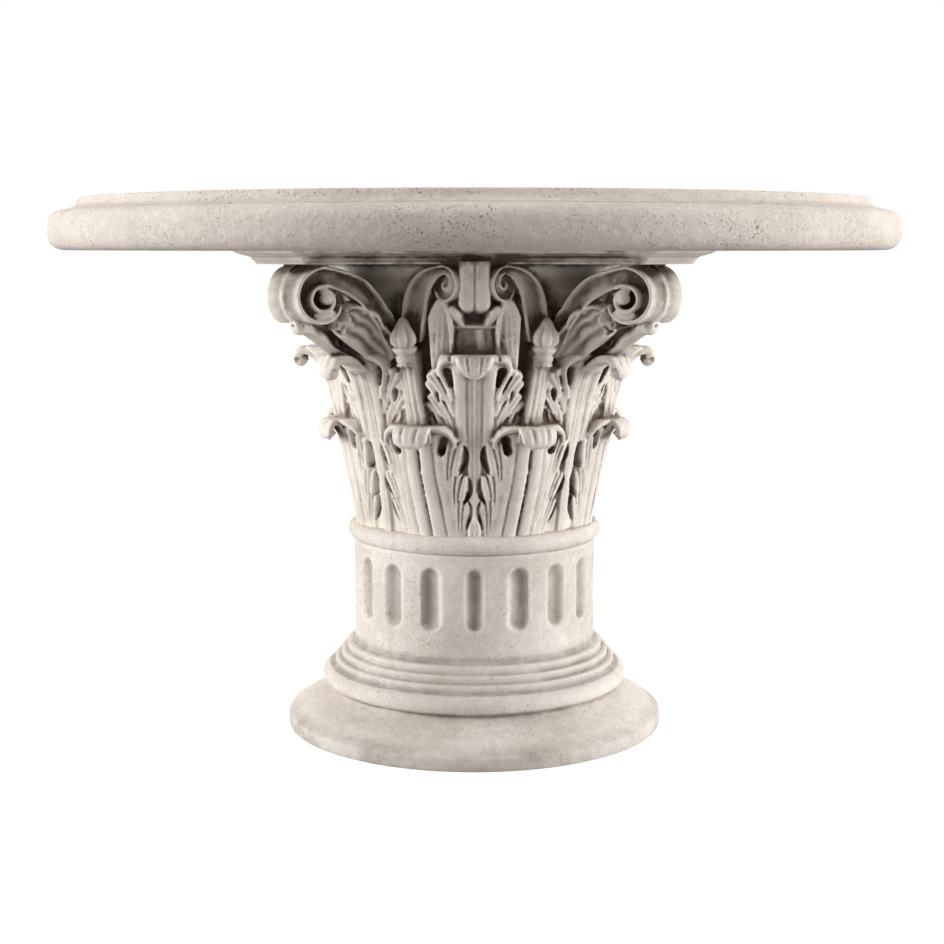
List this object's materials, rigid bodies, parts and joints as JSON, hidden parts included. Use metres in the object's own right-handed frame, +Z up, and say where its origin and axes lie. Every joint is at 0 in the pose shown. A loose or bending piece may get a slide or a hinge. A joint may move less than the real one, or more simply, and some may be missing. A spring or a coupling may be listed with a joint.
{
  "type": "pedestal table",
  "caption": "Round stone table: a moulded slab resting on a Corinthian capital with acanthus leaves, corner volutes and a moulded abacus, above a fluted drum and a round foot.",
  "frame": {"origin": "on the floor, at the centre of the foot", "axes": "+Z up, the axis of the drum and the slab; a flat side of the abacus faces -Y"},
  "size_m": [1.194, 1.194, 0.762],
  "materials": {
    "pedestal": "matt cast stone, cream to warm grey, brown dirt in the hollows and pale worn edges",
    "table_top": "matt cast stone, cream, with short open pits along the edge and a smooth top"
  },
  "bodies": {
    "root": {"pedestal": "pedestal", "table_top": "table_top"}
  },
  "joints": []
}
